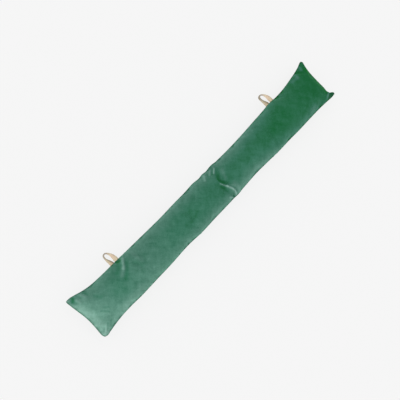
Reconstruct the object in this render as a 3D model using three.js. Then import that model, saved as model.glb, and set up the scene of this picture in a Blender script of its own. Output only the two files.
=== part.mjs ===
// Draught excluder: a long velvet cushion filled with fibre, with two hanging loops of cotton tape
// caught in one side seam. Millimetres, +Z up. The cushion lies on its flattened underside, and the
// origin is on that face, half-way along. +X runs along the cushion, +Y points to the seam with loops.

import * as THREE from 'three';
import { LoftGeometry } from 'three/addons/geometries/LoftGeometry.js';
import { mergeGeometries, mergeVertices } from 'three/addons/utils/BufferGeometryUtils.js';

// Driving sizes of the cushion
const leftEnd = -491; // middle of the left end seam
const rightEnd = 480.5; // middle of the right end seam
const seamHeight = 35; // the seam that joins the two panels, above the surface
const endSeamDip = 3; // how much lower that seam lies at the two ends
const seamHalf = 1.5; // half the thickness of the sewn edge
const topRise = 36; // fullness of the top panel above the seam
const bottomDrop = 42; // fullness of the bottom panel, before the surface flattens it
const floorBlend = 3; // softness of the bend where the underside meets the surface
const endTaper = 112; // length over which the filling thins to an end seam
const endBlend = 58; // length over which the sections bend to follow an end seam
const creaseOnset = 2.5; // how soon the creases rise, going in from the seams
const panelColumns = 18; // steps across each panel

// Driving sizes of the tape loops
const tapeWidth = 14;
const tapeThick = 1.4;
const tapeRound = 0.35; // rounding of the woven edges
const tapeSteps = 34;
const sewnGap = 0.4; // clearance between the tape's ends and the sewn edge
const leftLoopX = -331;
const rightLoopX = 324;

// Plan of the side seams: how far each one lies from the long axis
const outline = [
	{ x: - 500, loopSide: 68.0, plainSide: 65.5 },
	{ x: - 494, loopSide: 69.6, plainSide: 68.5 },
	{ x: - 487, loopSide: 70.8, plainSide: 71.4 },
	{ x: - 470, loopSide: 67.2, plainSide: 69.8 },
	{ x: - 450, loopSide: 61.0, plainSide: 66.8 },
	{ x: - 425, loopSide: 55.7, plainSide: 64.2 },
	{ x: - 390, loopSide: 53.0, plainSide: 63.2 },
	{ x: - 340, loopSide: 51.8, plainSide: 64.9 },
	{ x: - 290, loopSide: 50.3, plainSide: 64.4 },
	{ x: - 225, loopSide: 48.6, plainSide: 64.2 },
	{ x: - 150, loopSide: 47.0, plainSide: 62.0 },
	{ x: - 95, loopSide: 47.9, plainSide: 65.0 },
	{ x: - 45, loopSide: 48.0, plainSide: 64.3 },
	{ x: - 18, loopSide: 49.4, plainSide: 64.3 },
	{ x: 10, loopSide: 47.2, plainSide: 64.4 },
	{ x: 24, loopSide: 47.2, plainSide: 64.3 },
	{ x: 34, loopSide: 45.8, plainSide: 64.2 },
	{ x: 54, loopSide: 47.6, plainSide: 65.2 },
	{ x: 72, loopSide: 45.4, plainSide: 63.4 },
	{ x: 143, loopSide: 45.0, plainSide: 60.9 },
	{ x: 185, loopSide: 46.0, plainSide: 62.3 },
	{ x: 240, loopSide: 48.5, plainSide: 64.4 },
	{ x: 291, loopSide: 51.0, plainSide: 64.2 },
	{ x: 324, loopSide: 53.2, plainSide: 65.1 },
	{ x: 350, loopSide: 51.6, plainSide: 64.8 },
	{ x: 387, loopSide: 53.2, plainSide: 64.5 },
	{ x: 425, loopSide: 58.4, plainSide: 64.8 },
	{ x: 450, loopSide: 63.4, plainSide: 66.2 },
	{ x: 472, loopSide: 69.4, plainSide: 67.8 },
	{ x: 484, loopSide: 73.0, plainSide: 68.6 },
	{ x: 489, loopSide: 72.6, plainSide: 68.0 },
	{ x: 496, loopSide: 68.5, plainSide: 66.5 },
];

// End seams: how far each one reaches past its middle, from the plain corner (-1) to the loop corner (1)
const endSeams = [
	{ across: - 1.0, left: 3.0, right: 7.5 },
	{ across: - 0.96, left: 4.6, right: 11.2 },
	{ across: - 0.9, left: 4.8, right: 8.5 },
	{ across: - 0.8, left: 3.6, right: 1.0 },
	{ across: - 0.72, left: 2.8, right: - 2.2 },
	{ across: - 0.5, left: 1.2, right: - 1.2 },
	{ across: 0.0, left: 0.0, right: 0.0 },
	{ across: 0.5, left: 1.8, right: 0.8 },
	{ across: 0.8, left: 4.2, right: 3.4 },
	{ across: 0.95, left: 6.6, right: 10.6 },
	{ across: 1.0, left: 5.8, right: 9.0 },
];

// Creases of the top panel: soft troughs (negative height) and ridges, each along a run of points in plan
const creases = [
	{ place: 'middle, hollow', width: 24, height: - 2.0, run: [[ 66, 60 ], [ 50, 10 ], [ 38, - 70 ]] },
	{ place: 'middle, loop side', width: 8, height: - 3.0, run: [[ 75, 50 ], [ 58, 19 ], [ 43, 0 ]] },
	{ place: 'middle, plain side', width: 8, height: - 3.4, run: [[ 34, - 8 ], [ 34, - 36 ], [ 45, - 66 ]] },
	{ place: 'middle, fold', width: 6, height: 3.6, run: [[ 42, - 12 ], [ 51, - 36 ], [ 56, - 66 ]] },
	{ place: 'middle, pucker', width: 4.5, height: 1.6, run: [[ 24, 49 ], [ 15, 36 ]] },
	{ place: 'middle, pucker', width: 4.5, height: 1.8, run: [[ 42, 49 ], [ 30, 34 ]] },
	{ place: 'middle, pucker', width: 4.5, height: 1.8, run: [[ 58, 49 ], [ 46, 32 ]] },
	{ place: 'left loop, pull', width: 5, height: 2.2, run: [[ - 308, 48 ], [ - 340, 8 ]] },
	{ place: 'left loop, before it', width: 7, height: - 2.0, run: [[ - 322, 50 ], [ - 362, 6 ]] },
	{ place: 'left loop, behind it', width: 6.5, height: - 2.2, run: [[ - 306, 30 ], [ - 340, - 6 ]] },
	{ place: 'left loop corner', width: 5, height: - 2.4, run: [[ - 484, 66 ], [ - 480, 52 ]] },
	{ place: 'left loop corner', width: 4.5, height: - 2.0, run: [[ - 462, 62 ], [ - 458, 46 ]] },
	{ place: 'left loop corner', width: 4.5, height: - 1.8, run: [[ - 446, 58 ], [ - 442, 44 ]] },
	{ place: 'right plain corner', width: 4.5, height: 2.2, run: [[ 479, - 50 ], [ 474, - 66 ]] },
];

// Where the sections lie, close together at the ends and at the creases
const stations = [
	{ to: - 424, step: 4.5 },
	{ to: - 366, step: 10 },
	{ to: - 294, step: 6 },
	{ to: - 8, step: 16 },
	{ to: 92, step: 4 },
	{ to: 310, step: 16 },
	{ to: 422, step: 12 },
	{ to: rightEnd, step: 4.2 },
];

// Middle line of a tape loop from one sewn end to the other: along the seam, out from it, above it,
// and how far the tape is turned from flat towards standing on its edge
const loopPath = [
	{ along: - 8.6, out: 0.0, up: 0.0, turn: 0 },
	{ along: - 9.3, out: 8.5, up: 0.3, turn: 24 },
	{ along: - 11.1, out: 17.5, up: 0.2, turn: 50 },
	{ along: - 12.2, out: 25.5, up: - 0.3, turn: 70 },
	{ along: - 10.6, out: 32.0, up: - 0.9, turn: 83 },
	{ along: - 5.8, out: 35.2, up: - 1.2, turn: 88 },
	{ along: - 0.4, out: 32.6, up: - 0.9, turn: 83 },
	{ along: 3.9, out: 26.4, up: - 0.3, turn: 69 },
	{ along: 7.3, out: 17.5, up: 0.2, turn: 48 },
	{ along: 8.5, out: 8.5, up: 0.3, turn: 23 },
	{ along: 8.6, out: 0.0, up: 0.0, turn: 0 },
];

// A smooth lookup of a table's columns by its first one
function lookUp( table, key, ...columns ) {

	const keys = table.map( ( row ) => row[ key ] );
	const values = table.flatMap( ( row ) => columns.map( ( column ) => row[ column ] ) );
	const curve = new THREE.CubicInterpolant( keys, values, columns.length );
	return ( at ) => Array.from( curve.evaluate( at ) );

}

const sidesAt = lookUp( outline, 'x', 'loopSide', 'plainSide' );
const endReachAt = lookUp( endSeams, 'across', 'left', 'right' );

// How full a panel is across its width: none at the side seams, 1 in the middle
function acrossFullness( across ) {

	return ( 1 - Math.abs( across ) ** 2.4 ) ** 0.56;

}

// How full the cushion is along its length: none at the end seams, 1 past the tapers
function alongFullness( station ) {

	const inset = Math.min( station - leftEnd, rightEnd - station );
	const short = 1 - Math.min( inset / endTaper, 1 );
	return ( 1 - short ** 2.4 ) ** 0.6;

}

// Distance in plan from a point to a run of straight stretches
function distanceToRun( point, run ) {

	let nearest = Infinity;
	for ( let i = 1; i < run.length; i ++ ) {

		const start = new THREE.Vector2( ...run[ i - 1 ] );
		const stretch = new THREE.Vector2( ...run[ i ] ).sub( start );
		const offset = point.clone().sub( start );
		const part = THREE.MathUtils.clamp( offset.dot( stretch ) / stretch.lengthSq(), 0, 1 );
		nearest = Math.min( nearest, offset.addScaledVector( stretch, - part ).length() );

	}

	return nearest;

}

// Height that the creases add at a point of the top panel
function creaseHeight( x, y ) {

	const point = new THREE.Vector2( x, y );
	let sum = 0;
	for ( const { run, width, height } of creases ) {

		sum += height * Math.exp( - ( ( distanceToRun( point, run ) / width ) ** 2 ) );

	}

	return sum;

}

// The surface holds up whatever would sink below it, with a soft bend at the rim of the contact
function restOnSurface( z ) {

	if ( z <= - floorBlend ) return 0;
	if ( z >= floorBlend ) return z;
	return ( z + floorBlend ) ** 2 / ( 4 * floorBlend );

}

// A point of the top or bottom panel: across runs from -1 at the plain side seam to 1 at the loop side
function panelPoint( top, station, across ) {

	const toLeft = 1 - THREE.MathUtils.smoothstep( station, leftEnd, leftEnd + endBlend );
	const toRight = THREE.MathUtils.smoothstep( station, rightEnd - endBlend, rightEnd );
	const [ leftReach, rightReach ] = endReachAt( across );
	const x = station - toLeft * leftReach + toRight * rightReach;
	const [ loopSide, plainSide ] = sidesAt( x );
	const y = ( loopSide - plainSide ) / 2 + across * ( loopSide + plainSide ) / 2;

	const along = alongFullness( station );
	const full = acrossFullness( across ) * along;
	const seamZ = seamHeight - endSeamDip * ( 1 - along );
	if ( ! top ) return new THREE.Vector3( x, y, restOnSurface( seamZ - seamHalf - bottomDrop * full ) );
	const crease = creaseHeight( x, y ) * Math.min( full * creaseOnset, 1 );
	return new THREE.Vector3( x, y, seamZ + seamHalf + topRise * full + crease );

}

// Two panels and the narrow sewn edge that joins them all round make one closed skin
function makeCushion() {

	const xs = [ leftEnd ];
	for ( const { to, step } of stations ) {

		const from = xs.at( - 1 );
		const count = Math.round( ( to - from ) / step );
		for ( let i = 1; i <= count; i ++ ) xs.push( from + ( to - from ) * i / count );

	}

	const acrosses = [];
	for ( let i = 0; i <= panelColumns; i ++ ) acrosses.push( Math.cos( Math.PI * i / panelColumns ) );
	const backwards = acrosses.toReversed();

	const topPanel = xs.map( ( x ) => acrosses.map( ( across ) => panelPoint( true, x, across ) ) );
	const bottomPanel = xs.map( ( x ) => backwards.map( ( across ) => panelPoint( false, x, across ) ) );
	const walk = [
		...xs.map( ( x ) => [ x, 1 ] ),
		...acrosses.slice( 1 ).map( ( across ) => [ rightEnd, across ] ),
		...xs.toReversed().slice( 1 ).map( ( x ) => [ x, - 1 ] ),
		...backwards.slice( 1 ).map( ( across ) => [ leftEnd, across ] ),
	];
	const sewnEdge = walk.map( ( at ) => [ panelPoint( false, ...at ), panelPoint( true, ...at ) ] );

	const pieces = [ topPanel, bottomPanel, sewnEdge ];
	const joined = mergeGeometries( pieces.map( ( rows ) => new LoftGeometry( rows, { closed: false } ) ) );
	joined.deleteAttribute( 'uv' );
	joined.deleteAttribute( 'normal' );
	const skin = mergeVertices( joined );
	skin.computeVertexNormals();

	const velvet = new THREE.MeshStandardMaterial( { color: 0x3f7a60, roughness: 0.95, metalness: 0 } );
	const cushion = new THREE.Mesh( skin, velvet );
	cushion.name = 'velvet_cushion';
	return cushion;

}

// Section of the tape, counterclockwise, with its woven edges slightly rounded
function tapeOutline() {

	const side = tapeWidth / 2;
	const face = tapeThick / 2;
	return [
		[ side, tapeRound - face ],
		[ side, face - tapeRound ],
		[ side - tapeRound, face ],
		[ tapeRound - side, face ],
		[ - side, face - tapeRound ],
		[ - side, tapeRound - face ],
		[ tapeRound - side, - face ],
		[ side - tapeRound, - face ],
	];

}

function makeTapeLoop( name, loopX ) {

	const middle = new THREE.CatmullRomCurve3(
		loopPath.map( ( row ) => new THREE.Vector3( row.along, row.out, row.up ) ), false, 'catmullrom' );
	const turning = new THREE.CatmullRomCurve3(
		loopPath.map( ( row ) => new THREE.Vector3( row.turn, 0, 0 ) ), false, 'catmullrom' );
	const up = new THREE.Vector3( 0, 0, 1 );
	const sections = [];

	for ( let i = 0; i <= tapeSteps; i ++ ) {

		const centre = middle.getPoint( i / tapeSteps );
		const ahead = middle.getTangent( i / tapeSteps );
		if ( i === 0 || i === tapeSteps ) ahead.set( 0, i === 0 ? 1 : - 1, 0 );
		const inward = new THREE.Vector3().crossVectors( ahead, up ).normalize();
		const turn = THREE.MathUtils.degToRad( turning.getPoint( i / tapeSteps ).x );
		const widthWay = inward.applyAxisAngle( ahead, - turn );
		const faceWay = new THREE.Vector3().crossVectors( ahead, widthWay );
		sections.push( tapeOutline().map( ( [ side, face ] ) =>
			centre.clone().addScaledVector( widthWay, side ).addScaledVector( faceWay, face ) ) );

	}

	const cotton = new THREE.MeshStandardMaterial( { color: 0xd8c8a6, roughness: 0.9, metalness: 0 } );
	const loop = new THREE.Mesh( new LoftGeometry( sections, { capStart: true, capEnd: true } ), cotton );
	const span = tapeWidth * 2;
	const [ before ] = sidesAt( loopX - span / 2 );
	const [ after ] = sidesAt( loopX + span / 2 );
	const [ here ] = sidesAt( loopX );
	loop.name = name;
	loop.rotation.z = Math.atan2( after - before, span );
	loop.position.set( loopX, Math.max( here, ( before + after ) / 2 ) + sewnGap, seamHeight );
	return loop;

}

const draughtExcluder = new THREE.Group();
draughtExcluder.add( makeCushion() );
draughtExcluder.add( makeTapeLoop( 'tape_loop_left', leftLoopX ) );
draughtExcluder.add( makeTapeLoop( 'tape_loop_right', rightLoopX ) );

export default draughtExcluder;
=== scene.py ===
import math
import bmesh
import bpy
import numpy as np
from mathutils import Matrix, Vector


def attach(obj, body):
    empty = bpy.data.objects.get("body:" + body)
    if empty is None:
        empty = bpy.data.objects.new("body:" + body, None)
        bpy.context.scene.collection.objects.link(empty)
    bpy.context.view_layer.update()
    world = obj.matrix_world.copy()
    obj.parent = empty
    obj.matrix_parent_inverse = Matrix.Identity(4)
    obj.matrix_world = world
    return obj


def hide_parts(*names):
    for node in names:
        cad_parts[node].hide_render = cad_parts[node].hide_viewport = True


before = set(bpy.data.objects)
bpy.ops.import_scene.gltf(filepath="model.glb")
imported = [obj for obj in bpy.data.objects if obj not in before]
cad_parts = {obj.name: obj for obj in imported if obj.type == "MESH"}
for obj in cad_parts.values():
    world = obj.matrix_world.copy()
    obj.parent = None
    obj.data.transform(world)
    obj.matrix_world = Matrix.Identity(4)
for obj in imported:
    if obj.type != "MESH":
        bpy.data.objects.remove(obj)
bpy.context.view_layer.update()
scene = bpy.context.scene
mm = 0.001


camera = {
    "imageSize": 400,  # pixels, square
    "sensorWidth": 36,  # mm
    "focalPixels": 810.0,
    "tilt": 15.0,  # degrees from straight down, leaning towards the left end
    "turn": 46.0,  # degrees that the cushion's long axis stands up from the picture's lower edge
    "distance": 2.284,
    "aim": (-0.0362, 0.002, 0.036),  # what the middle of the picture looks at
    "farClip": 20,
}


def makeCamera():
    tilt, turn = math.radians(camera["tilt"]), math.radians(camera["turn"])
    along = Vector((math.cos(tilt), 0, math.sin(tilt)))  # the cushion's long axis, as seen
    across = Vector((0, 1, 0))
    back = Vector((-math.sin(tilt), 0, math.cos(tilt)))
    right = along * math.cos(turn) - across * math.sin(turn)
    up = along * math.sin(turn) + across * math.cos(turn)
    data = bpy.data.cameras.new("camera")
    data.sensor_width = camera["sensorWidth"]
    data.lens = data.sensor_width * camera["focalPixels"] / camera["imageSize"]
    data.clip_end = camera["farClip"]
    obj = bpy.data.objects.new("camera", data)
    scene.collection.objects.link(obj)
    turned = Matrix((right, up, back)).transposed().to_4x4()
    obj.matrix_world = Matrix.Translation(Vector(camera["aim"]) + back * camera["distance"]) @ turned
    scene.camera = obj
    print("camera: %.1f mm lens" % data.lens)


def newMaterial(name):
    material = bpy.data.materials.new(name)
    material.use_nodes = True
    nodes = material.node_tree.nodes
    return material, nodes, material.node_tree.links, nodes["Principled BSDF"]


def addNode(nodes, kind, **settings):  # settings name the node's own values or its inputs
    node = nodes.new(kind)
    for key, value in settings.items():
        if hasattr(node, key):
            setattr(node, key, value)
        else:
            node.inputs[key].default_value = value
    return node


def fromHex(code):  # sRGB as given to linear
    parts = [int(code[i : i + 2], 16) / 255 for i in (0, 2, 4)]
    return tuple(p / 12.92 if p < 0.04045 else ((p + 0.055) / 1.055) ** 2.4 for p in parts)


velvet = {
    "tones": [  # linear colours against the painted sheen: paler above 0, painted shade below 0
        (-0.10, (0.0034, 0.119, 0.0182)),  # the deepest painted shade
        (0.00, (0.0078, 0.1135, 0.0350)),
        (0.055, (0.0335, 0.1475, 0.0920)),
        (0.12, (0.0644, 0.1765, 0.1310)),
        (0.50, (0.2540, 0.415, 0.3640)),  # the palest painted sheen
    ],
    # painted shade in the seam's groove and on the bent-down tip of the right plain corner
    "seamShadeTone": (0.005, 0.042, 0.021),
    "seamShadeShares": (1, 0.85, 0.65),  # how much painted shade shows in the groove, on the lips and at the panels
    "sheenTint": (0.32, 0.84, 0.57),
    "napTilt": -16,  # degrees that the pile leans towards the left end
    # noises in the pile: turn in degrees, stretch, and Blender's own settings
    "patches": {"turn": 20, "stretch": 1.5, "Scale": 9, "Detail": 2, "Roughness": 0.5},
    "strokes": {"turn": 45, "stretch": 2.4, "Scale": 32, "Detail": 5, "Roughness": 0.62, "Distortion": 0.3},
    "crossed": {"turn": -48, "stretch": 2.4, "Scale": 36, "Detail": 5, "Roughness": 0.62, "Distortion": 0.3},
    "grain": {"turn": 0, "stretch": 1.0, "Scale": 420, "Detail": 2, "Roughness": 0.6},
    "pile": {"turn": 0, "stretch": 1.0, "Scale": 1500, "Detail": 2, "Roughness": 0.6},
    "patchPale": 0.055,
    "strokePale": 0.07,
    "grainPale": 0.05,
    "leastMarked": 0.55,  # where no sheen is painted
    "mostMarked": 1.1,  # where the painted sheen reaches paintedSheenAndShadePale, or more
    "paintedSheenAndShadePale": 0.1,
    "markShare": 0.65,  # how much of the marks is a change of lie
    "markDepth": 2.3,  # and how strongly they change the brightness
    "strokeBump": {"Strength": 0.3, "Distance": 0.0012},
    "pileBump": {"Strength": 0.3, "Distance": 0.0003},
    "sheenWeight": 0.50,
    "sheenRoughness": 0.47,
    "roughness": 0.6,
    "gloss": 0.04,
}


def mapRange(nodes, links, source, fromMin, fromMax, toMin, toMax, **settings):
    node = addNode(nodes, "ShaderNodeMapRange", **settings)
    sockets = ("From Min", "From Max", "To Min", "To Max")
    for socket, value in zip(sockets, (fromMin, fromMax, toMin, toMax)):
        node.inputs[socket].default_value = value
    links.new(source, node.inputs["Value"])
    return node.outputs["Result"]


def fromMiddle(nodes, links, noise, reach):  # a noise's middle becomes 0 and its top becomes the reach
    return mapRange(nodes, links, noise, 0.5, 1, 0, reach, clamp=False)


def addUp(nodes, links, sources):
    total = sources[0]
    for source in sources[1:]:
        node = addNode(nodes, "ShaderNodeMath", operation="ADD")
        links.new(total, node.inputs[0])
        links.new(source, node.inputs[1])
        total = node.outputs["Value"]
    return total


def toneRamp(nodes, links, source, tones):
    low, high = tones[0][0], tones[-1][0]
    ramp = addNode(nodes, "ShaderNodeValToRGB")
    while len(ramp.color_ramp.elements) < len(tones):
        ramp.color_ramp.elements.new(0.5)
    for stop, (place, tone) in zip(ramp.color_ramp.elements, tones):
        stop.position = (place - low) / (high - low)
        stop.color = [*tone, 1]
    links.new(mapRange(nodes, links, source, low, high, 0, 1), ramp.inputs["Fac"])
    return ramp.outputs["Color"]


def mixTones(nodes, links, factor, first, second, **settings):  # without a factor all of the second counts
    node = addNode(nodes, "ShaderNodeMix", data_type="RGBA", **settings)
    if factor is None:
        node.inputs["Factor"].default_value = 1
    else:
        links.new(factor, node.inputs["Factor"])
    for socket, tone in (("A", first), ("B", second)):
        if isinstance(tone, tuple):
            node.inputs[socket].default_value = [*tone, 1]
        else:
            links.new(tone, node.inputs[socket])
    return node.outputs["Result"]


def slantedNoise(nodes, links, place, turn, stretch, **settings):
    slant = addNode(nodes, "ShaderNodeMapping", vector_type="TEXTURE")
    slant.inputs["Rotation"].default_value = (0, 0, math.radians(turn))
    slant.inputs["Scale"].default_value = (1.0, 1 / stretch, 1.0)
    links.new(place, slant.inputs["Vector"])
    noiseNode = addNode(nodes, "ShaderNodeTexNoise", **settings)
    links.new(slant.outputs["Vector"], noiseNode.inputs["Vector"])
    return noiseNode.outputs["Fac"]


def velvetMaterial():
    material, nodes, links, shader = newMaterial("velvet")
    v = velvet
    place = addNode(nodes, "ShaderNodeTexCoord").outputs["Object"]
    patches = slantedNoise(nodes, links, place, **v["patches"])
    strokes = slantedNoise(nodes, links, place, **v["strokes"])
    crossed = slantedNoise(nodes, links, place, **v["crossed"])
    grain = slantedNoise(nodes, links, place, **v["grain"])
    marks = addUp(nodes, links, [
        fromMiddle(nodes, links, patches, v["patchPale"]),
        fromMiddle(nodes, links, strokes, v["strokePale"]),
        fromMiddle(nodes, links, crossed, v["strokePale"]),
        fromMiddle(nodes, links, grain, v["grainPale"]),
    ])
    # painted sheen and shade from the cushion's points pick the tone
    paintedSheenAndShade = addNode(nodes, "ShaderNodeAttribute", attribute_name="paintedSheenAndShade").outputs["Fac"]
    howMarked = mapRange(nodes, links, paintedSheenAndShade, 0, v["paintedSheenAndShadePale"], v["leastMarked"], v["mostMarked"])
    marked = addNode(nodes, "ShaderNodeMath", operation="MULTIPLY")
    links.new(marks, marked.inputs[0])
    links.new(howMarked, marked.inputs[1])
    lie = mapRange(nodes, links, marked.outputs["Value"], 0, 1, 0, v["markShare"], clamp=False)
    paintedTone = toneRamp(nodes, links, addUp(nodes, links, [paintedSheenAndShade, lie]), v["tones"])
    depth = mapRange(nodes, links, marked.outputs["Value"], 0, 1, 1, 1 + v["markDepth"], clamp=False)
    paintedTone = mixTones(nodes, links, None, paintedTone, depth, blend_type="MULTIPLY")
    # painted shade in the seam's groove and on the bent-down ear tip
    seam = addNode(nodes, "ShaderNodeAttribute", attribute_name="seam").outputs["Fac"]
    links.new(mixTones(nodes, links, seam, paintedTone, v["seamShadeTone"]), shader.inputs["Base Color"])

    nap = addNode(nodes, "ShaderNodeNormalMap", uv_map="cloth")
    lean = math.radians(v["napTilt"])
    nap.inputs["Color"].default_value = (0.5 + math.sin(lean) / 2, 0.5, 0.5 + math.cos(lean) / 2, 1)
    strokeBump = addNode(nodes, "ShaderNodeBump", **v["strokeBump"])
    links.new(strokes, strokeBump.inputs["Height"])
    links.new(nap.outputs["Normal"], strokeBump.inputs["Normal"])
    pile = slantedNoise(nodes, links, place, **v["pile"])
    pileBump = addNode(nodes, "ShaderNodeBump", **v["pileBump"])
    links.new(pile, pileBump.inputs["Height"])
    links.new(strokeBump.outputs["Normal"], pileBump.inputs["Normal"])
    links.new(pileBump.outputs["Normal"], shader.inputs["Normal"])
    shader.inputs["Roughness"].default_value = v["roughness"]
    shader.inputs["Specular IOR Level"].default_value = v["gloss"]
    shader.inputs["Sheen Weight"].default_value = v["sheenWeight"]
    shader.inputs["Sheen Roughness"].default_value = v["sheenRoughness"]
    shader.inputs["Sheen Tint"].default_value = [*v["sheenTint"], 1]
    return material


cushion = {
    "leftEnd": -491 * mm,  # middle of each end seam
    "rightEnd": 480.5 * mm,
    "seamHeight": 35 * mm,
    "endSeamDip": 3 * mm,
    "seamRidge": 2.2 * mm,  # how far the sewn edge stands out from the panels
    "seamHalf": 1.7 * mm,
    "seamLip": 0.7 * mm,  # how far the cloth rolls out on both sides of the stitching
    "seamGroove": 1.2 * mm,
    "topRise": 36 * mm,
    "bottomDrop": 42 * mm,
    "floorBlend": 3 * mm,
    "endTaper": 112 * mm,
    "endBlend": 58 * mm,
    "endCurve": (2.4, 0.6),  # the powers that round the cushion off towards its ends
    "crownCurve": (2.4, 0.56),  # and towards its sides
    "cellsAlong": 256,
    "cellsAcross": 34,
    # mm: x, spread, extra cells
    "finePlaces": [(48, 32, 1.6), (-326, 40, 0.5), (-491, 40, 0.5), (480, 40, 0.5)],
    "flatLength": 1.0,  # the cover as it was cut, finished size
    "flatWidth": 0.15,
    "underPanel": 0.2,  # how far the lower panel lies from the upper one in the UV map
}

# plan of the side seams, mm: x, loop side, plain side
sideSeams = [
    (-500, 69.5, 64.5),
    (-494, 70.6, 67.2),
    (-487, 71.0, 71.4),
    (-470, 67.2, 69.8),
    (-450, 61.0, 66.8),
    (-425, 55.7, 64.2),
    (-390, 53.0, 63.2),
    (-340, 51.8, 64.9),
    (-290, 50.3, 64.4),
    (-225, 48.6, 64.2),
    (-150, 47.0, 62.0),
    (-95, 47.9, 65.0),
    (-45, 48.0, 64.3),
    (-18, 49.2, 64.3),
    (8, 46.8, 64.4),
    (22, 48.2, 64.3),
    (36, 46.3, 64.2),
    (47, 47.6, 64.8),
    (57, 48.2, 65.2),
    (65, 47.9, 64.4),
    (73, 46.3, 63.5),
    (86, 45.7, 62.9),
    (143, 45.0, 60.9),
    (185, 46.0, 62.3),
    (240, 48.5, 64.4),
    (291, 51.0, 64.2),
    (324, 53.2, 65.1),
    (350, 51.6, 64.8),
    (387, 53.2, 64.5),
    (425, 58.4, 64.8),
    (450, 62.6, 66.2),
    (472, 68.0, 67.6),
    (484, 72.2, 68.2),
    (489, 72.6, 67.6),
    (498, 69.0, 67.4),
]

# how far each end seam reaches past its middle, mm: across, left end, right end
endSeams = [
    (-1.00, -0.5, 16.2),
    (-0.96, 1.6, 16.8),
    (-0.90, 2.6, 15.4),
    (-0.80, 2.4, 4.4),
    (-0.72, 1.8, -0.5),
    (-0.50, 0.2, 0.2),
    (0.00, -0.8, 1.2),
    (0.50, 3.0, 4.0),
    (0.70, 4.6, 6.9),
    (0.85, 5.6, 10.0),
    (0.95, 6.0, 11.6),
    (1.00, 5.4, 10.0),
]


def smoothTable(rows, at):  # cubic curve through a table's rows; the first column is the key
    table = np.array(rows, float)
    keys, values = table[:, 0], table[:, 1:]
    slopes = np.gradient(values, keys, axis=0)
    i = np.clip(np.searchsorted(keys, at) - 1, 0, len(keys) - 2)
    span = (keys[i + 1] - keys[i])[:, None]
    t = np.clip((at - keys[i]) / (keys[i + 1] - keys[i]), 0, 1)[:, None]
    start = (1 + 2 * t) * (1 - t) ** 2 * values[i] + t * (1 - t) ** 2 * span * slopes[i]
    end = t**2 * (3 - 2 * t) * values[i + 1] - t**2 * (1 - t) * span * slopes[i + 1]
    return (start + end).T


def smoothStep(low, high, x):
    t = np.clip((x - low) / (high - low), 0, 1)
    return t * t * (3 - 2 * t)


def stationsAlong(u, left, right):  # spreads the cells along the cushion, closer at its fine places
    x = np.linspace(0, 1, 2000)
    density = np.ones(len(x))
    length = cushion["rightEnd"] - cushion["leftEnd"]
    for place, spread, extra in cushion["finePlaces"]:
        density += extra * np.exp(-(((cushion["leftEnd"] + x * length) / mm - place) / spread) ** 2)
    passed = np.cumsum(density)
    passed = (passed - passed[0]) / (passed[-1] - passed[0]) * 2 - 1
    return left + np.interp(u, passed, x) * (right - left)


def inRim(u, v):  # the points of the sewn edge, which lie on the border of the flat cover
    return np.maximum(np.abs(u), np.abs(v)) > 0.999


def roundOff(toEdge, curve):  # from 1 in the middle to 0 at the edge
    return (1 - toEdge ** curve[0]) ** curve[1]


# u along and v across run from -1 to 1; side is 1 on the upper panel, -1 on the lower, 0 in the seam
def cushionShape(u, v, side):
    c = cushion
    ridge = np.where(inRim(u, v), 0, c["seamRidge"])
    left, right = c["leftEnd"] + ridge, c["rightEnd"] - ridge
    station = stationsAlong(u, left, right)
    across = np.sin(v * math.pi / 2)
    toLeft = 1 - smoothStep(c["leftEnd"], c["leftEnd"] + c["endBlend"], station)
    toRight = smoothStep(c["rightEnd"] - c["endBlend"], c["rightEnd"], station)
    leftReach, rightReach = smoothTable(endSeams, across) * mm
    x = station - toLeft * leftReach + toRight * rightReach
    loopSide, plainSide = smoothTable(sideSeams, x / mm) * mm - ridge
    y = (loopSide - plainSide) / 2 + across * (loopSide + plainSide) / 2

    inset = np.minimum(station - left, right - station)
    short = 1 - np.clip(inset / c["endTaper"], 0, 1)
    along = roundOff(short, c["endCurve"])
    full = roundOff(np.abs(across), c["crownCurve"]) * along
    seamZ = c["seamHeight"] - c["endSeamDip"] * (1 - along)
    top = seamZ + c["seamHalf"] + c["topRise"] * full
    low = seamZ - c["seamHalf"] - c["bottomDrop"] * full
    blend = c["floorBlend"]
    eased = (low + blend) ** 2 / (4 * blend)  # where the underside comes down to the floor
    low = np.where(low <= -blend, 0, np.where(low >= blend, low, eased))
    z = np.where(side > 0.9, top, np.where(side < -0.9, low, seamZ + side * c["seamHalf"]))
    return np.stack([x, y, z], axis=1)


def coverMesh():  # a flat cover: two panels joined all round by a sewn edge of four rows
    bm = bmesh.new()
    bmesh.ops.create_grid(bm, x_segments=cushion["cellsAlong"], y_segments=cushion["cellsAcross"], size=1)
    bmesh.ops.translate(bm, verts=bm.verts[:], vec=(0, 0, -1))
    lifted = bmesh.ops.extrude_face_region(bm, geom=bm.faces[:])["geom"]
    upper = [part for part in lifted if isinstance(part, bmesh.types.BMVert)]
    bmesh.ops.translate(bm, verts=upper, vec=(0, 0, 2))
    rises = [e for e in bm.edges if abs(e.verts[0].co.z - e.verts[1].co.z) > 1]
    bmesh.ops.subdivide_edges(bm, edges=rises, cuts=3)
    bmesh.ops.recalc_face_normals(bm, faces=bm.faces[:])
    rank = Vector((1, 1000, 1000000))  # one order for every run, because the cloth settles by it
    bm.verts.sort(key=lambda vert: vert.co.dot(rank))
    bm.edges.sort(key=lambda edge: (edge.verts[0].co + edge.verts[1].co).dot(rank))
    bm.faces.sort(key=lambda face: face.calc_center_median().dot(rank))
    return bm


def takeMesh(bm, name):
    mesh = bpy.data.meshes.new(name)
    bm.to_mesh(mesh)
    bm.free()
    return mesh


def readPoints(mesh):
    points = np.zeros(len(mesh.vertices) * 3)
    mesh.vertices.foreach_get("co", points)
    return points.reshape(-1, 3)


def writePoints(mesh, points):
    mesh.vertices.foreach_set("co", points.ravel())
    mesh.update()


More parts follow.
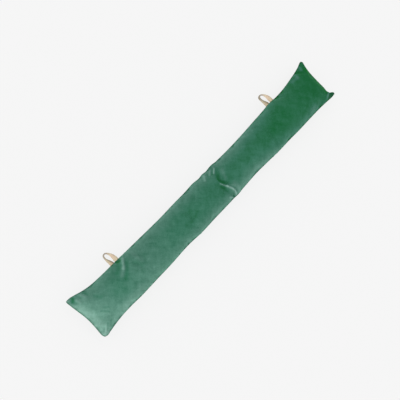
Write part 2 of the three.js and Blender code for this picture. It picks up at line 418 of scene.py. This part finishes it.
def readNormals(mesh):
    normals = np.zeros(len(mesh.vertices) * 3)
    mesh.vertex_normals.foreach_get("vector", normals)
    return normals.reshape(-1, 3)


def newObject(name, mesh):
    obj = bpy.data.objects.new(name, mesh)
    scene.collection.objects.link(obj)
    return obj


def applyModifiers(obj):
    bpy.context.view_layer.update()
    made = bpy.data.meshes.new_from_object(obj.evaluated_get(bpy.context.evaluated_depsgraph_get()))
    obj.modifiers.clear()
    old = obj.data
    obj.data = made
    bpy.data.meshes.remove(old)


def smoothOnce(obj):
    for poly in obj.data.polygons:
        poly.use_smooth = True
    sub = obj.modifiers.new("smooth", "SUBSURF")
    sub.levels = sub.render_levels = 1
    applyModifiers(obj)


settling = {
    "frames": 18,
    "quality": 6,
    "mass": 0.2,
    "airDamping": 2,
    "pressure": 5.0,
    "spareCloth": 0.011,  # how much larger the cloth is than the shape that it starts from
    "slackCloth": 0.022,  # the same at the slack places
    # mm: middle, reach
    "slackPlaces": [((50, 0), 40), ((-326, 30), 34), ((-465, 50), 34), ((465, -50), 30)],
    "leastSlack": 0.02,
    "stiffness": 18.0,
    "shear": 6.0,
    "bending": 0.6,
    "onFloor": 0.2 * mm,  # what lies lower than this is held, as the stitching is
    "mostMove": 7 * mm,
}


def settleCloth(obj):  # the filling presses the cover out, and its spare cloth puckers along the seams
    s = settling
    start = readPoints(obj.data)
    mod = obj.modifiers.new("settle", "CLOTH")
    cloth = mod.settings
    cloth.quality = s["quality"]
    cloth.mass = s["mass"]
    cloth.air_damping = s["airDamping"]
    cloth.tension_stiffness = s["stiffness"]
    cloth.compression_stiffness = s["stiffness"]
    cloth.shear_stiffness = s["shear"]
    cloth.bending_stiffness = s["bending"]
    cloth.use_pressure = True
    cloth.uniform_pressure_force = s["pressure"]
    cloth.effector_weights.gravity = 0
    cloth.vertex_group_mass = "held"
    cloth.vertex_group_shrink = "slack"
    cloth.shrink_min = -s["spareCloth"]
    cloth.shrink_max = -s["slackCloth"]
    mod.collision_settings.use_collision = False
    mod.point_cache.frame_start = 1
    mod.point_cache.frame_end = s["frames"]
    for step in range(1, s["frames"] + 1):
        scene.frame_set(step)
    applyModifiers(obj)
    scene.frame_set(1)
    move = readPoints(obj.data) - start
    length = np.linalg.norm(move, axis=1, keepdims=True)
    cap = s["mostMove"]
    settled = start + move * np.where(length > cap, cap / np.maximum(length, 1e-9), 1)
    settled[:, 2] = np.maximum(settled[:, 2], 0)
    writePoints(obj.data, settled)
    print("cloth settled: mean move %.2f mm, most %.2f mm" % (length.mean() / mm, length.max() / mm))


folding = {
    "beforeSettling": 0.5,  # the share of each fold's height that is pressed in before the cloth settles
    "afterSettling": 0.7,  # and after it, on what is left
    "fadeFrom": 1 * mm,  # above the seam
    "fadeTo": 8 * mm,
    "toneFrom": -0.05,  # how far a place faces up before the painted sheen and shade of its fold show
    "toneTo": 0.2,
    "toneWidth": 0.8,
}

# folds that the cover always shows, mm: half width, height (minus for a trough), the painted sheen
# along it (minus for painted shade in it), and its run in plan
foldRuns = [
    (20, -1.6, 0, [(52, 34), (44, 10), (38, -60)]),  # the slack place near the middle
    (8.5, -2.0, -0.022, [(52, 30), (45, 18), (36, 9), (35, 0), (39, -10), (44, -18)]),
    (6.5, -1.0, -0.036, [(57, 35), (50, 24), (46, 17)]),
    (4.0, -1.1, -0.032, [(40, 12), (35, 6), (35, -2), (39, -12)]),
    (6.5, -2.8, -0.04, [(25, -15), (28, -30), (33, -45), (39, -60)]),
    (3.0, 2.4, 0.24, [(29, -8), (33, -17), (38, -26)]),  # its sharp ridge
    (3.5, 3.2, 0.30, [(38, -26), (45, -40), (48, -50), (47, -60)]),
    (2.2, 0.6, 0.06, [(45, -26), (58, -41)]),
    (6.0, 0.6, 0.05, [(64, 17), (54, 2), (51, -8)]),
    (9.0, 0.8, 0.07, [(59, -36), (64, -54)]),
    (3.6, 1.4, 0.12, [(7, 29), (18, 41)]),
    (2.6, 1.5, 0.13, [(28, 31), (40, 39)]),
    (2.8, 1.8, 0.20, [(40, 27), (54, 37)]),
    (3.0, -1.4, -0.07, [(34, 28), (50, 39)]),
    (2.6, -1.0, -0.05, [(22, 32), (30, 40)]),
    (2.6, 1.4, 0.19, [(26, -55), (35, -61)]),
    (3.7, 2.4, 0.155, [(-310, 42), (-316, 37), (-324, 27), (-331, 21)]),  # the pull under the left loop
    (6.0, 1.2, 0.065, [(-329, 23), (-339, 17), (-348, 11)]),
    (9.0, -1.6, -0.035, [(-322, 46), (-335, 34), (-352, 25)]),
    (7.0, -1.8, -0.045, [(-313, 28), (-321, 18), (-334, 6), (-346, -2)]),
    (4.0, -0.6, -0.10, [(-327, 48), (-320, 45)]),
    (7.0, 0.5, 0.03, [(-283, 40), (-284, 20), (-280, 2)]),
    (7.0, -0.5, -0.02, [(-298, 14), (-292, -8)]),
    (8.5, -1.6, -0.20, [(-480, 63), (-488, 57)]),  # the slack corner on the loops' side
    (7.0, -0.8, -0.09, [(-485, 54), (-483, 48)]),
    (5.0, 0.0, -0.07, [(-493, 68), (-482, 70)]),
    (4.0, -1.2, -0.08, [(-467, 62), (-464, 50)]),
    (5.5, -1.2, -0.08, [(-449, 57), (-445, 45)]),
    (4.0, 1.2, 0.05, [(-476, 54), (-472, 40)]),
    (4.0, 0.8, 0.05, [(-457, 54), (-453, 42)]),
    (3.5, -1.0, -0.08, [(-488, -60), (-476, -52)]),
    (3.5, -1.0, -0.08, [(-474, -62), (-462, -50)]),
    (3.5, -0.8, -0.06, [(-459, -60), (-449, -50)]),
    (3.0, 0.9, 0.06, [(-480, -62), (-468, -50)]),
    (7.0, -0.4, -0.05, [(-436, 26), (-426, 12)]),
    (3.0, -0.5, -0.06, [(-452, -14), (-438, -30)]),
    (3.0, -0.4, -0.05, [(-440, -12), (-430, -22)]),
    (14, 0.0, 0.05, [(-400, -50), (-330, -52)]),
    (9.0, 0.0, 0.05, [(388, -52), (408, -52)]),
    (6.0, 0.8, 0.05, [(412, 48), (434, 46)]),
    (5.0, 1.0, 0.05, [(441, 58), (432, 42)]),
    (4.0, -1.0, -0.05, [(447, 62), (457, 47)]),
    (6.0, 0.6, 0.06, [(468, 62), (465, 54)]),
    # painted shade along the right end's slope, with no fold
    (8.0, 0.0, -0.15, [(476, 46), (473, 0), (473, -44)]),
]

# painted sheen and light, paler towards the left end, below 0 painted shade: x in mm, along the middle,
# what the rim adds on the loops' side, and what it adds on the plain side
paintedSheenAlong = [
    (-500, 0.20, 0.02, 0.12),
    (-460, 0.165, 0.02, 0.16),
    (-420, 0.12, 0.05, 0.24),
    (-380, 0.07, 0.16, 0.34),
    (-325, 0.09, -0.02, 0.18),
    (-270, 0.115, 0.08, 0.07),
    (-215, 0.09, 0.18, 0.10),
    (-150, 0.06, 0.27, 0.26),
    (-45, 0.055, 0.24, 0.31),
    (60, 0.05, 0.29, 0.26),
    (130, 0.035, 0.34, 0.36),
    (215, 0.024, 0.26, 0.26),
    (300, 0.010, 0.12, 0.17),
    (400, 0.014, 0.02, 0.12),
    (490, -0.012, 0.03, 0.05),
]
rimSheen = {  # painted sheen along the rims; across the cover, 1 in the seam
    "most": 0.42,
    "from": 0.8,
    "power": 2.2,
    "sheenDrops": 0.45,  # beside the seam the painted sheen drops again
    "sheenDropsFrom": 0.75,
    "sheenDropsTo": 0.95,
}
endSheenBand = {  # mm: painted sheen and light, palest on the left end's slope
    "pale": 0.10,
    "edge": -469,
    "shift": -13,  # its edge lies this much further out on the loops' side
    "shiftBy": 46,
    "soft": 9,
}


def runDistance(points, run):  # distance in plan from each point to a run of straight stretches
    nearest = np.full(len(points), 1e9)
    for start, end in zip(run[:-1], run[1:]):
        start, end = np.array(start) * mm, np.array(end) * mm
        step = end - start
        t = np.clip((points - start) @ step / (step @ step), 0, 1)
        nearest = np.minimum(nearest, np.linalg.norm(points - (start + t[:, None] * step), axis=1))
    return nearest


def pressFolds(obj, share):
    f = folding
    points, normals = readPoints(obj.data), readNormals(obj.data)
    seam = cushion["seamHeight"]
    above = smoothStep(seam + f["fadeFrom"], seam + f["fadeTo"], points[:, 2])
    facingUp = smoothStep(f["toneFrom"], f["toneTo"], normals[:, 2])
    lift, pale = np.zeros(len(points)), np.zeros(len(points))
    for width, height, tone, run in foldRuns:
        away = runDistance(points[:, :2], run) / (width * mm)
        lift += height * mm * np.exp(-(away**2)) * above
        # painted sheen along the folds' ridges and painted shade in their troughs, where they face up
        pale += tone * np.exp(-((away / f["toneWidth"]) ** 2)) * facingUp
    points += normals * (lift * share)[:, None]
    writePoints(obj.data, points)
    return pale


def paintSheen(obj, across):  # painted sheen and light away from the folds: paler towards the left end, along the rims and on the left end's slope
    points = readPoints(obj.data) / mm
    middle, loopSide, plainSide = smoothTable(paintedSheenAlong, points[:, 0])
    r = rimSheen
    rim = r["most"] * np.minimum(np.abs(across) / r["from"], 1) ** r["power"]
    rim *= 1 - r["sheenDrops"] * smoothStep(r["sheenDropsFrom"], r["sheenDropsTo"], np.abs(across))
    b = endSheenBand
    edge = b["edge"] + b["shift"] * smoothStep(0, b["shiftBy"], points[:, 1])
    band = 1 - smoothStep(edge - b["soft"], edge + b["soft"], points[:, 0])
    return middle + rim * np.where(across > 0, loopSide, plainSide) + b["pale"] * band


puckers = {
    "height": 0.8 * mm,
    "reach": 10 * mm,
    "clear": 2.5 * mm,  # next to the stitching
    "spacing": 5.5 * mm,
    # painted highlight on the crests and painted shade in the hollows
    "pale": 0.055,
    "seed": 11,
    "count": 240,  # random heights along each seam
    "middle": 110,  # the one at the middle of the seam
}


def puckerSeams(obj, along, across):  # small gathers in the cloth beside the stitching, with painted highlight on their crests and painted shade in their hollows
    p = puckers
    points, normals = readPoints(obj.data), readNormals(obj.data)
    pale = np.zeros(len(points))
    beside = (
        (along * cushion["flatLength"] / 2, (1 - np.abs(across)) * cushion["flatWidth"] / 2, across > 0),
        (across * cushion["flatWidth"] / 2, (1 - np.abs(along)) * cushion["flatLength"] / 2, along > 0),
    )
    for pair, (place, inset, second) in enumerate(beside):
        for side in (0, 1):
            knots = np.random.default_rng(p["seed"] + 2 * pair + side).normal(0, 1, p["count"])
            wave = np.interp(place / p["spacing"] + p["middle"], np.arange(p["count"]), knots)
            near = np.exp(-((inset / p["reach"]) ** 2)) * smoothStep(0, p["clear"], inset)
            pale += wave * near * (second == side)
    points += normals * (pale * p["height"])[:, None]
    points[:, 2] = np.maximum(points[:, 2], 0)
    writePoints(obj.data, points)
    return pale * p["pale"]


def readTone(obj, name):
    values = np.zeros(len(obj.data.vertices))
    obj.data.attributes[name].data.foreach_get("value", values)
    return values


def writeTone(obj, name, values):
    tone = obj.data.attributes.get(name) or obj.data.attributes.new(name, "FLOAT", "POINT")
    tone.data.foreach_set("value", values)


sewnRows = [0, 0.5, 1]  # of the sewn edge: its groove, its lips, and where it meets the panels


def rollSeam(obj, side, rim):  # two rounded lips with the stitched groove between them
    points, normals = readPoints(obj.data), readNormals(obj.data)
    outward = normals * [1, 1, 0]
    outward /= np.maximum(np.linalg.norm(outward, axis=1, keepdims=True), 1e-9)
    lip, groove = cushion["seamLip"], cushion["seamGroove"]
    reach = np.interp(np.abs(side), sewnRows, [-groove, lip, 0])
    points[rim] += (outward * reach[:, None])[rim]
    writePoints(obj.data, points)


ear = {  # the tip of the right plain corner, bent down behind the end of the filling
    "bend": [(484, -49), (456, -62)],  # mm in plan
    "from": [452, 466],  # mm: where the bend fades in along the cushion
    "within": -30 * mm,  # across it, only past this
    "drop": 5.0 * mm,
    "slope": 0.30,
    "bendWidth": 3.0 * mm,
    "roll": 1.4 * mm,  # the rounded edge of the bend
    "rollBack": 2 * mm,
    "rollWidth": 2.5 * mm,
    "highFrom": -1 * mm,  # above the seam
    "highTo": 4 * mm,
    # painted shade on the bent-down tip, and a painted highlight along the bend's rolled edge
    "shade": 0.55,
    "shadeWidth": 11.0 * mm,
    "rollHighlight": 0.15,
}


def tuckEar(obj):
    e = ear
    points = readPoints(obj.data)
    start, end = np.array(e["bend"]) * mm
    step = (end - start) / np.linalg.norm(end - start)
    past = (points[:, 0] - start[0]) * -step[1] + (points[:, 1] - start[1]) * step[0]
    near = smoothStep(*e["from"], points[:, 0] / mm) * (points[:, 1] < e["within"])
    share = smoothStep(0, e["bendWidth"], past) * near
    points[:, 2] -= share * (e["drop"] + e["slope"] * np.maximum(past, 0))
    seam = cushion["seamHeight"]
    high = smoothStep(seam + e["highFrom"], seam + e["highTo"], points[:, 2])
    rolled = near * high * np.exp(-(((past + e["rollBack"]) / e["rollWidth"]) ** 2))
    points[:, 2] += e["roll"] * rolled
    points[:, 2] = np.maximum(points[:, 2], 0)
    writePoints(obj.data, points)
    # painted shade on the bent-down tip, kept in the seam's painted shade, and a painted highlight along its
    # rolled edge
    dark = e["shade"] * share * smoothStep(-e["shadeWidth"] / 2, e["shadeWidth"], past)
    writeTone(obj, "seam", np.maximum(readTone(obj, "seam"), dark))
    writeTone(obj, "paintedSheenAndShade", readTone(obj, "paintedSheenAndShade") * (1 - share) + e["rollHighlight"] * rolled)


def layCloth(bm):  # the UV map, in metres on the flat cover
    layer = bm.loops.layers.uv.new("cloth")
    for face in bm.faces:
        for loop in face.loops:
            u, v, side = loop.vert.co
            across = v * cushion["flatWidth"] / 2
            below = 0 if side > -0.1 else cushion["underPanel"]
            loop[layer].uv = (u * cushion["flatLength"] / 2, across + below)


def markCloth(obj, shape, rim):  # what the simulation holds, and where the cover is slack
    held = obj.vertex_groups.new(name="held")
    still = np.flatnonzero(rim | (shape[:, 2] < settling["onFloor"]))
    held.add([int(i) for i in still], 1.0, "REPLACE")
    slack = obj.vertex_groups.new(name="slack")
    weight = np.zeros(len(shape))
    for middle, reach in settling["slackPlaces"]:
        away = np.linalg.norm(shape[:, :2] / mm - middle, axis=1) / reach
        weight = np.maximum(weight, np.exp(-away**2))
    for i in np.flatnonzero(weight > settling["leastSlack"]):
        slack.add([int(i)], float(weight[i]), "REPLACE")


def makeCushion():
    bm = coverMesh()
    layCloth(bm)
    mesh = takeMesh(bm, "cushion")
    flat = readPoints(mesh)
    u, v, side = flat.T
    shape = cushionShape(u, v, side)
    writePoints(mesh, shape)
    obj = newObject("cushion", mesh)
    rim = inRim(u, v)
    rollSeam(obj, side, rim)
    markCloth(obj, shape, rim)
    # painted shade in the seam's groove, on its lips and where it meets the panels
    writeTone(obj, "seam", np.where(rim, np.interp(np.abs(side), sewnRows, velvet["seamShadeShares"]), 0))
    writeTone(obj, "alongCloth", u)
    writeTone(obj, "acrossCloth", v)
    pressFolds(obj, folding["beforeSettling"])
    settleCloth(obj)
    smoothOnce(obj)
    along, across = readTone(obj, "alongCloth"), readTone(obj, "acrossCloth")
    gathered = puckerSeams(obj, along, across)
    # painted sheen and shade: along the cushion, on the puckers and on the folds
    pale = paintSheen(obj, across) + gathered + pressFolds(obj, folding["afterSettling"])
    writeTone(obj, "paintedSheenAndShade", pale)
    tuckEar(obj)
    for name in ("alongCloth", "acrossCloth"):
        obj.data.attributes.remove(obj.data.attributes[name])
    obj.data.materials.append(velvetMaterial())
    print("cushion:", len(obj.data.vertices), "points")
    return obj


tape = {
    "width": 14 * mm,
    "thickness": 1.3 * mm,
    "camber": 0.5 * mm,  # how far its middle stands off its selvedges
    "cellsAlong": 60,
    "cellsAcross": 8,
    "sewnGap": 0.4 * mm,
    "sewnIn": 3 * mm,
    "pathStep": 8.5 * mm,  # between two rows of a loop's path, about
    "measuredAt": 200,  # places along it
    "bodyTone": "ecdcbc",
    "blushTone": "e8c9b0",
    # painted shade: darker on the bend, on the left leg and along one selvedge, where little light falls
    "bendShadeTone": "8a7d68",
    "edgeShadeTone": "84745c",
    # metres along the tape from its middle: how much of the painted shade shows, most at the bend
    "shadedAlong": [(-0.045, 0.18), (-0.024, 0.36), (-0.008, 0.92), (0.004, 0.92), (0.019, 0)],
    "turnOver": (-0.012, 0.014),  # where the painted shade along a selvedge passes from the inner to the outer side
    "outerShare": -0.42,
    "edgeShadeReach": 0.45,  # of the width, how far the painted shade along the selvedge reaches in
    "weaveTurn": 45,
    "rib": {"Scale": 260, "Distortion": 1.2, "Detail": 2},
    "ribBump": {"Strength": 0.5, "Distance": 0.0004},
    "patches": {"Scale": 90, "Detail": 4, "Roughness": 0.6},
    "blushed": (0.35, 0.65),  # the part of the patches that passes from blush to body
    "roughness": 0.85,
    "gloss": 0.25,
    "sheenWeight": 0.3,
}

# each loop's middle line, mm and degrees: along the seam, out, up, turn
leftPath = [
    (-7.5, 0, 0, 20),
    (-8.6, 8.5, 0.3, 46),
    (-10.7, 17.5, 0.2, 66),
    (-11.1, 25.5, -0.3, 78),
    (-9.4, 32.2, -0.9, 76),
    (-4.2, 35.4, -1.2, 72),
    (1.6, 33.0, -0.9, 65),
    (5.8, 26.4, -0.3, 55),
    (8.6, 17.5, 0.2, 36),
    (9.2, 8.5, 0.3, 14),
    (9.0, 0, 0, 0),
]
rightPath = [
    (-9.5, 0, 0, 24),
    (-10.8, 8.5, 0.3, 60),
    (-12.5, 17.5, 0.2, 80),
    (-13.1, 25.5, -0.3, 87),
    (-11.5, 31.8, -0.9, 81),
    (-6.3, 34.6, -1.2, 72),
    (0.2, 32.6, -0.9, 57),
    (4.6, 26.4, -0.3, 42),
    (7.6, 17.5, 0.2, 22),
    (8.2, 8.5, 0.3, 4),
    (8.2, 0, 0, 0),
]


def tapeMaterial():
    material, nodes, links, shader = newMaterial("tape")
    t = tape
    cloth = addNode(nodes, "ShaderNodeUVMap", uv_map="cloth").outputs["UV"]
    weave = addNode(nodes, "ShaderNodeMapping")
    weave.inputs["Rotation"].default_value = (0, 0, math.radians(t["weaveTurn"]))
    links.new(cloth, weave.inputs["Vector"])
    rib = addNode(nodes, "ShaderNodeTexWave", bands_direction="X", **t["rib"])
    links.new(weave.outputs["Vector"], rib.inputs["Vector"])
    patches = addNode(nodes, "ShaderNodeTexNoise", **t["patches"])
    links.new(cloth, patches.inputs["Vector"])
    blushed = mapRange(nodes, links, patches.outputs["Fac"], *t["blushed"], 0, 1)
    tone = mixTones(nodes, links, blushed, fromHex(t["blushTone"]), fromHex(t["bodyTone"]))
    place = addNode(nodes, "ShaderNodeSeparateXYZ")
    links.new(cloth, place.inputs["Vector"])
    along, across = place.outputs["X"], place.outputs["Y"]
    # painted shade on the bend and the left leg
    shades = [(at, (share,) * 3) for at, share in t["shadedAlong"]]
    tone = mixTones(nodes, links, toneRamp(nodes, links, along, shades), tone, fromHex(t["bendShadeTone"]))
    # painted shade along the inner selvedge of the left leg and the outer one of the right leg
    side = mapRange(nodes, links, along, *t["turnOver"], 1, t["outerShare"])
    leaning = addNode(nodes, "ShaderNodeMath", operation="MULTIPLY")
    links.new(across, leaning.inputs[0])
    links.new(side, leaning.inputs[1])
    reach = t["edgeShadeReach"] * t["width"]
    dark = mapRange(nodes, links, leaning.outputs["Value"], 0, reach, 0, 1)
    tone = mixTones(nodes, links, dark, tone, fromHex(t["edgeShadeTone"]))
    links.new(tone, shader.inputs["Base Color"])
    bump = addNode(nodes, "ShaderNodeBump", **t["ribBump"])
    links.new(rib.outputs["Fac"], bump.inputs["Height"])
    links.new(bump.outputs["Normal"], shader.inputs["Normal"])
    shader.inputs["Roughness"].default_value = t["roughness"]
    shader.inputs["Specular IOR Level"].default_value = t["gloss"]
    shader.inputs["Sheen Weight"].default_value = t["sheenWeight"]
    return material


def alongPath(rows, at):  # smooth curve through evenly spaced rows, run on straight past both ends
    rows = np.array(rows, float)
    slopes = np.gradient(rows, axis=0)
    slopes[0, 0] = slopes[-1, 0] = 0
    place = np.clip(at, 0, len(rows) - 1)
    i = np.clip(place.astype(int), 0, len(rows) - 2)
    t = (place - i)[:, None]
    start = (1 + 2 * t) * (1 - t) ** 2 * rows[i] + t * (1 - t) ** 2 * slopes[i]
    end = t**2 * (3 - 2 * t) * rows[i + 1] - t**2 * (1 - t) * slopes[i + 1]
    past = (at - place)[:, None] * np.where(at[:, None] < 0, slopes[0], slopes[-1])
    return start + end + past * [1, 1, 1, 0]


def seamAt(x):  # y of the seam on the loops' side, and its slope
    reach = 5 * mm
    near = smoothTable(sideSeams, np.array([x - reach, x, x + reach]) / mm)[0] * mm
    return near[1], (near[2] - near[0]) / (2 * reach)


def bendTape(flat, path, inside):  # the flat tape's points, twisted along a loop's path
    at = (flat[:, 0] + 1) / 2 * (len(path) - 1 + 2 * inside) - inside
    line = alongPath(path, at)
    nudge = 0.05
    tangent = alongPath(path, at + nudge)[:, :3] - alongPath(path, at - nudge)[:, :3]
    tangent /= np.linalg.norm(tangent, axis=1, keepdims=True)
    turn = np.radians(-line[:, 3])[:, None]
    inward = np.cross(tangent, (0.0, 0.0, 1.0))
    inward /= np.linalg.norm(inward, axis=1, keepdims=True)
    lifted = np.cross(tangent, inward)
    widthways = inward * np.cos(turn) + lifted * np.sin(turn)
    face = np.cross(widthways, tangent)
    acrossWidth = flat[:, 1:2]
    points = line[:, :3] * mm + widthways * acrossWidth * tape["width"] / 2
    points += face * tape["camber"] * (1 - acrossWidth**2)
    return points


def makeLoop(name, node, x, path, material):
    bm = bmesh.new()
    bmesh.ops.create_grid(bm, x_segments=tape["cellsAlong"], y_segments=tape["cellsAcross"], size=1)
    inside = tape["sewnIn"] / tape["pathStep"]  # in steps of the path
    points = bendTape(np.array([v.co for v in bm.verts]), path, inside)
    y, slope = seamAt(x)
    spun = np.array(Matrix.Rotation(math.atan(slope), 3, "Z"))
    points = points @ spun.T + (x, y + tape["sewnGap"], cushion["seamHeight"])
    stops = np.linspace(-inside, len(path) - 1 + inside, tape["measuredAt"])
    total = np.linalg.norm(np.diff(alongPath(path, stops)[:, :3] * mm, axis=0), axis=1).sum()
    layer = bm.loops.layers.uv.new("cloth")
    for square in bm.faces:
        for loop in square.loops:
            u, v, _ = loop.vert.co
            loop[layer].uv = (u * total / 2, v * tape["width"] / 2)
    for vert, point in zip(bm.verts, points):
        vert.co = point
    bmesh.ops.solidify(bm, geom=bm.faces[:], thickness=tape["thickness"])
    bmesh.ops.recalc_face_normals(bm, faces=bm.faces[:])
    obj = newObject(name, takeMesh(bm, name))
    smoothOnce(obj)
    obj.data.materials.append(material)
    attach(obj, "root")
    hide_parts(node)
    print(name, "tape length %.1f mm" % (total / mm))
    return obj


studio = {
    "sky": 1.0,
    "floorGlow": 0.82,
    "floorTone": 0.10,
    "floorRoughness": 0.9,
    "floorHalf": 4,  # metres from its middle to its sides
    "leftPower": 3.6,
    "leftColour": (0.97, 1.0, 0.92),
    "leftSize": (1.0, 0.6),
    "leftPlace": (-1.15, -0.28, 0.50),
    "leftAim": (-0.2, 0, 0.03),
}


def addLight(name, power, size, place, aim):
    data = bpy.data.lights.new(name, "AREA")
    data.energy = power
    data.shape = "RECTANGLE"
    data.size, data.size_y = size
    obj = bpy.data.objects.new(name, data)
    obj.location = place
    obj.rotation_euler = (Vector(aim) - Vector(place)).to_track_quat("-Z", "Y").to_euler()
    scene.collection.objects.link(obj)
    return obj


def makeFloor():
    bm = bmesh.new()
    bmesh.ops.create_grid(bm, x_segments=1, y_segments=1, size=studio["floorHalf"])
    floor = newObject("floor", takeMesh(bm, "floor"))
    material, _, _, shader = newMaterial("floorPaper")
    shader.inputs["Base Color"].default_value = [studio["floorTone"]] * 3 + [1]
    shader.inputs["Roughness"].default_value = studio["floorRoughness"]
    shader.inputs["Specular IOR Level"].default_value = 0.0
    shader.inputs["Emission Color"].default_value = (1, 1, 1, 1)
    shader.inputs["Emission Strength"].default_value = studio["floorGlow"]
    floor.data.materials.append(material)


def makeStudio():
    s = studio
    world = bpy.data.worlds.new("studio")
    world.use_nodes = True
    background = world.node_tree.nodes["Background"]
    background.inputs["Color"].default_value = (1, 1, 1, 1)
    background.inputs["Strength"].default_value = s["sky"]
    scene.world = world
    left = addLight("leftLight", s["leftPower"], s["leftSize"], s["leftPlace"], s["leftAim"])
    left.data.color = s["leftColour"]
    lit = bpy.data.collections.new("lit from the left")  # the light leaves the floor alone
    left.light_linking.receiver_collection = lit
    makeFloor()
    scene.view_settings.view_transform = "Standard"
    print("studio: white sky, pale floor and a light from the left")
    return lit


makeCamera()
litFromLeft = makeStudio()
cushionObj = makeCushion()
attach(cushionObj, "root")
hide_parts("velvet_cushion")
tapeCloth = tapeMaterial()
leftLoop = makeLoop("leftLoop", "tape_loop_left", -331 * mm, leftPath, tapeCloth)
rightLoop = makeLoop("rightLoop", "tape_loop_right", 324 * mm, rightPath, tapeCloth)
for piece in (cushionObj, leftLoop, rightLoop):
    litFromLeft.objects.link(piece)
